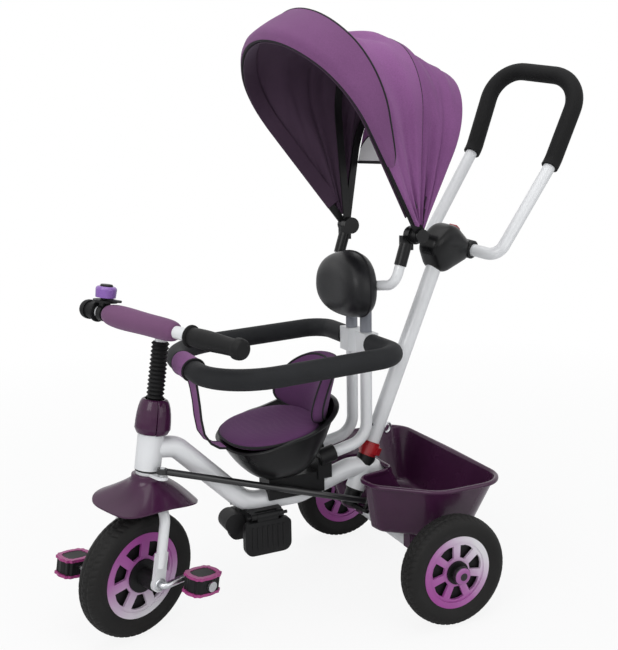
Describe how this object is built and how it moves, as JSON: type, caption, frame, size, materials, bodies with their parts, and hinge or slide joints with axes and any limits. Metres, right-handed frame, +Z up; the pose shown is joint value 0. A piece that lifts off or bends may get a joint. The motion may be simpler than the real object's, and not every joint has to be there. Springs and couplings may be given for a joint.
{
  "type": "toddler push tricycle",
  "caption": "Toddler push tricycle with steered pedal front wheel, steering push handle, bucket seat with guard rail, folding hood and rear basket.",
  "frame": {"origin": "on the floor under the middle of the bounding box", "axes": "-Y towards the front wheel, +X towards the rider's left, +Z up"},
  "size_m": [0.5112, 1.0625, 1.0755],
  "materials": {
    "white_paint": "gloss",
    "purple_moulding": "gloss",
    "purple_cloth": "woven",
    "black_plastic": "satin",
    "black_foam": "soft matt",
    "tyre_black": "matt",
    "rim_pink": "gloss",
    "bright_steel": "bright",
    "red_plastic": "gloss",
    "grey_plastic": "satin",
    "black_vinyl": "soft gloss"
  },
  "bodies": {
    "frame": {"main_frame": "white_paint", "steering_bushes": "black_plastic", "head_cover": "purple_moulding", "rear_axle": "bright_steel", "seat_bracket": "black_plastic", "seat_shell": "black_plastic", "seat_pad": "purple_cloth", "back_pad": "purple_cloth", "seat_posts": "white_paint", "post_sockets": "white_paint", "rail_core": "bright_steel", "rail_foam": "black_foam", "crotch_strap": "purple_cloth", "basket": "purple_moulding", "footrest_bracket": "black_plastic"},
    "fork": {"fork": "white_paint", "fender": "purple_moulding", "handlebar": "white_paint", "bellows": "black_plastic", "bar_pad": "purple_cloth", "grip_left": "black_foam", "grip_right": "black_foam", "bell_base": "black_plastic", "bell_dome": "rim_pink"},
    "bell_lever": {"bell_lever": "black_plastic"},
    "front_wheel": {"front_tyre": "tyre_black", "front_rim": "rim_pink", "front_hub": "black_plastic", "crank_axle": "bright_steel"},
    "pedal_left": {"pedal_left": "black_plastic", "pedal_left_rims": "rim_pink"},
    "pedal_right": {"pedal_right": "black_plastic", "pedal_right_rims": "rim_pink"},
    "rear_wheel_left": {"rear_tyre_left": "tyre_black", "rear_rim_left": "rim_pink", "rear_hub_left": "black_plastic"},
    "rear_wheel_right": {"rear_tyre_right": "tyre_black", "rear_rim_right": "rim_pink", "rear_hub_right": "black_plastic"},
    "push_column": {"push_tube": "white_paint", "column_arm": "black_plastic", "joint_box": "black_plastic"},
    "clutch_collar": {"clutch_collar": "red_plastic"},
    "lock_pin": {"lock_pin": "bright_steel"},
    "upper_handle": {"handle_loop": "white_paint", "handle_foam": "black_foam"},
    "release_button": {"release_button": "red_plastic"},
    "steering_rod": {"steering_rod": "black_plastic"},
    "hood_support": {"post_sleeves": "grey_plastic", "hood_arms": "white_paint", "arm_sleeves": "black_plastic", "head_rest": "black_vinyl", "hoop_rear": "black_plastic"},
    "hood_mid": {"hoop_mid": "black_plastic", "hood_back": "purple_cloth"},
    "hood_front": {"hoop_front": "black_plastic", "hood_roof": "purple_cloth", "visor": "purple_cloth"},
    "footrest_left": {"footrest_left": "black_plastic"},
    "footrest_right": {"footrest_right": "black_plastic"}
  },
  "joints": [
    {"name": "steer", "type": "hinge", "parent": "frame", "child": "fork", "pos_m": [0, -0.4026, 0.11434], "axis": [0, 0.153, 0.9882], "range_deg": [-50, 2]},
    {"name": "front_wheel_spin", "type": "hinge", "parent": "fork", "child": "front_wheel", "pos_m": [0, -0.4026, 0.11434], "axis": [0.9135, 0.4019, -0.0622], "continuous": true},
    {"name": "pedal_left_spin", "type": "hinge", "parent": "front_wheel", "child": "pedal_left", "pos_m": [0.08171, -0.31005, 0.11185], "axis": [0.9135, 0.4019, -0.0622], "continuous": true},
    {"name": "pedal_right_spin", "type": "hinge", "parent": "front_wheel", "child": "pedal_right", "pos_m": [-0.08171, -0.49515, 0.11683], "axis": [0.9135, 0.4019, -0.0622], "continuous": true},
    {"name": "rear_left_spin", "type": "hinge", "parent": "frame", "child": "rear_wheel_left", "pos_m": [0.22, 0.1114, 0.101], "axis": [1, 0, 0], "continuous": true},
    {"name": "rear_right_spin", "type": "hinge", "parent": "frame", "child": "rear_wheel_right", "pos_m": [-0.22, 0.1114, 0.101], "axis": [1, 0, 0], "continuous": true},
    {"name": "column_turn", "type": "hinge", "parent": "frame", "child": "push_column", "pos_m": [0, 0.0784, 0.303], "axis": [0, 0.3875, 0.9219], "range_deg": [-50, 2]},
    {"name": "rod_swing", "type": "hinge", "parent": "fork", "child": "steering_rod", "pos_m": [0.03472, -0.35806, 0.30102], "axis": [0, 0.153, 0.9882], "range_deg": [-2, 50]},
    {"name": "clutch_twist", "type": "hinge", "parent": "push_column", "child": "clutch_collar", "pos_m": [0, 0.06445, 0.26981], "axis": [0, 0.3875, 0.9219], "range_deg": [0, 40]},
    {"name": "lock_pin_pull", "type": "slide", "parent": "push_column", "child": "lock_pin", "axis": [-0.4067, 0.8422, -0.354], "range_m": [0, 0.045]},
    {"name": "handle_tilt", "type": "hinge", "parent": "push_column", "child": "upper_handle", "pos_m": [-0.02888, 0.29165, 0.64292], "axis": [0.9135, 0.375, -0.1576], "range_deg": [-35, 15]},
    {"name": "button_press", "type": "slide", "parent": "push_column", "child": "release_button", "axis": [0, -0.3875, -0.9219], "range_m": [0, 0.004], "stiffness_N_per_m": 700},
    {"name": "hood_lift", "type": "slide", "parent": "frame", "child": "hood_support", "axis": [0, 0, 1], "range_m": [0, 0.05]},
    {"name": "hood_mid_fold", "type": "hinge", "parent": "hood_support", "child": "hood_mid", "pos_m": [0, 0.0894, 0.69], "axis": [1, 0, 0], "range_deg": [-12, 0], "deforming": ["hood_back"]},
    {"name": "hood_front_fold", "type": "hinge", "parent": "hood_mid", "child": "hood_front", "pos_m": [0, 0.0894, 0.69], "axis": [1, 0, 0], "range_deg": [-25, 0], "deforming": ["hood_roof"]},
    {"name": "footrest_left_fold", "type": "hinge", "parent": "frame", "child": "footrest_left", "pos_m": [0.042, -0.1696, 0.192], "axis": [0, 1, 0], "range_deg": [-90, 0]},
    {"name": "footrest_right_fold", "type": "hinge", "parent": "frame", "child": "footrest_right", "pos_m": [-0.042, -0.1696, 0.192], "axis": [0, 1, 0], "range_deg": [0, 90]},
    {"name": "bell_lever_flick", "type": "hinge", "parent": "fork", "child": "bell_lever", "pos_m": [-0.13378, -0.39913, 0.58333], "axis": [0, 0.153, 0.9882], "range_deg": [0, 25], "stiffness_Nm_per_rad": 0.06}
  ],
  "couplings": [
    {"joint": "column_turn", "follows": "steer", "ratio": 1},
    {"joint": "rod_swing", "follows": "steer", "ratio": -1},
    {"joint": "hood_front_fold", "follows": "hood_mid_fold", "ratio": 2.0833}
  ]
}
